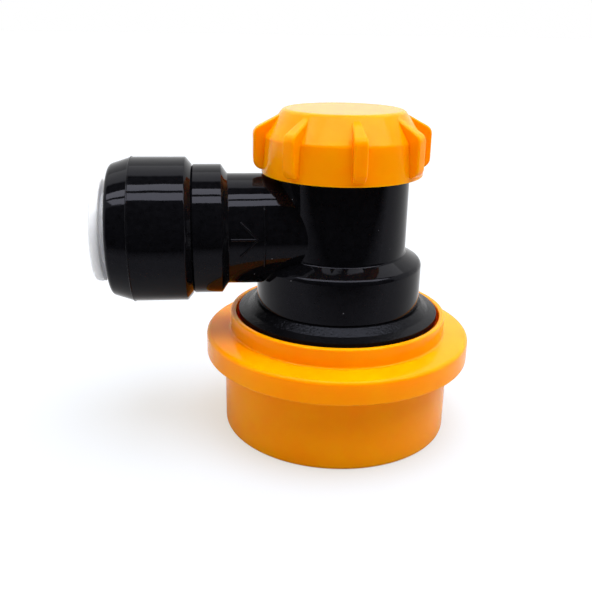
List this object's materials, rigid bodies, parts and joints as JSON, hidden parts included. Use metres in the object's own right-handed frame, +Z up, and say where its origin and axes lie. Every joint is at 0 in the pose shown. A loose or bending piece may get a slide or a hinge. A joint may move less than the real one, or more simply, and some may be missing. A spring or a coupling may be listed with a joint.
{
  "type": "ball lock disconnect",
  "caption": "Quick disconnect for a keg post: black body with a side arm for push-in tube, an orange lift-to-release collar with locking balls, and a ribbed orange screw cap.",
  "frame": {"origin": "on the keg post's axis, at the mouth of the bore that seals on the post", "axes": "+Z up along the keg post's axis towards the screw cap; the tube arm runs along -X"},
  "size_m": [0.0528, 0.038, 0.0457],
  "materials": {
    "black_acetal": "glossy",
    "orange_acetal": "satin gloss",
    "matte_black_nylon": "fine-grained matte",
    "black_nylon": "matte",
    "white_acetal": "satin",
    "rubber_seal": "matte",
    "spring_steel": "drawn",
    "polished_steel": "polished"
  },
  "bodies": {
    "housing": {"housing": "black_acetal", "arm_end_cap": "black_acetal", "tube_seal_inner": "rubber_seal", "seal_spacer": "black_nylon", "tube_seal_outer": "rubber_seal", "seal_retainer": "black_nylon", "grip_ring": "spring_steel", "spring_seat_ring": "matte_black_nylon", "retaining_ring": "spring_steel", "valve_spring": "spring_steel"},
    "collar_spring": {"collar_spring": "spring_steel"},
    "collar": {"lock_collar": "orange_acetal"},
    "plunger": {"valve_plunger": "white_acetal", "plunger_seal": "rubber_seal"},
    "cap_seal": {"cap_seal": "rubber_seal"},
    "cap": {"top_cap": "orange_acetal"},
    "collet": {"release_collet": "white_acetal"},
    "ball_1": {"lock_ball_1": "polished_steel"},
    "ball_2": {"lock_ball_2": "polished_steel"},
    "ball_3": {"lock_ball_3": "polished_steel"},
    "ball_4": {"lock_ball_4": "polished_steel"},
    "ball_5": {"lock_ball_5": "polished_steel"},
    "ball_6": {"lock_ball_6": "polished_steel"}
  },
  "joints": [
    {"name": "collar_turn", "type": "hinge", "parent": "housing", "child": "collar_spring", "pos_m": [0, 0, 0], "axis": [0, 0, 1], "continuous": true},
    {"name": "collar_lift", "type": "slide", "parent": "collar_spring", "child": "collar", "axis": [0, 0, 1], "range_m": [0, 0.0032], "stiffness_N_per_m": 1500, "springref_m": -0.006, "deforming": ["collar_spring"]},
    {"name": "plunger_push", "type": "slide", "parent": "housing", "child": "plunger", "axis": [0, 0, 1], "range_m": [0, 0.0026], "stiffness_N_per_m": 600, "springref_m": -0.005, "deforming": ["valve_spring"]},
    {"name": "cap_lift", "type": "slide", "parent": "housing", "child": "cap_seal", "axis": [0, 0, 1], "range_m": [0, 0.005]},
    {"name": "cap_turn", "type": "hinge", "parent": "cap_seal", "child": "cap", "pos_m": [0, 0, 0], "axis": [0, 0, 1], "range_deg": [0, 900]},
    {"name": "collet_push", "type": "slide", "parent": "housing", "child": "collet", "axis": [1, 0, 0], "range_m": [0, 0.0008]},
    {"name": "ball_1_slide", "type": "slide", "parent": "housing", "child": "ball_1", "axis": [0.866, 0.5, 0], "range_m": [0, 0.0011]},
    {"name": "ball_2_slide", "type": "slide", "parent": "housing", "child": "ball_2", "axis": [0, 1, 0], "range_m": [0, 0.0011]},
    {"name": "ball_3_slide", "type": "slide", "parent": "housing", "child": "ball_3", "axis": [-0.866, 0.5, 0], "range_m": [0, 0.0011]},
    {"name": "ball_4_slide", "type": "slide", "parent": "housing", "child": "ball_4", "axis": [-0.866, -0.5, 0], "range_m": [0, 0.0011]},
    {"name": "ball_5_slide", "type": "slide", "parent": "housing", "child": "ball_5", "axis": [0, -1, 0], "range_m": [0, 0.0011]},
    {"name": "ball_6_slide", "type": "slide", "parent": "housing", "child": "ball_6", "axis": [0.866, -0.5, 0], "range_m": [0, 0.0011]}
  ],
  "couplings": [
    {"joint": "cap_lift", "follows": "cap_turn", "m_per_rad": 0.0003183},
    {"joint": "ball_1_slide", "follows": "collar_lift", "ratio": 0.34375},
    {"joint": "ball_2_slide", "follows": "collar_lift", "ratio": 0.34375},
    {"joint": "ball_3_slide", "follows": "collar_lift", "ratio": 0.34375},
    {"joint": "ball_4_slide", "follows": "collar_lift", "ratio": 0.34375},
    {"joint": "ball_5_slide", "follows": "collar_lift", "ratio": 0.34375},
    {"joint": "ball_6_slide", "follows": "collar_lift", "ratio": 0.34375}
  ]
}
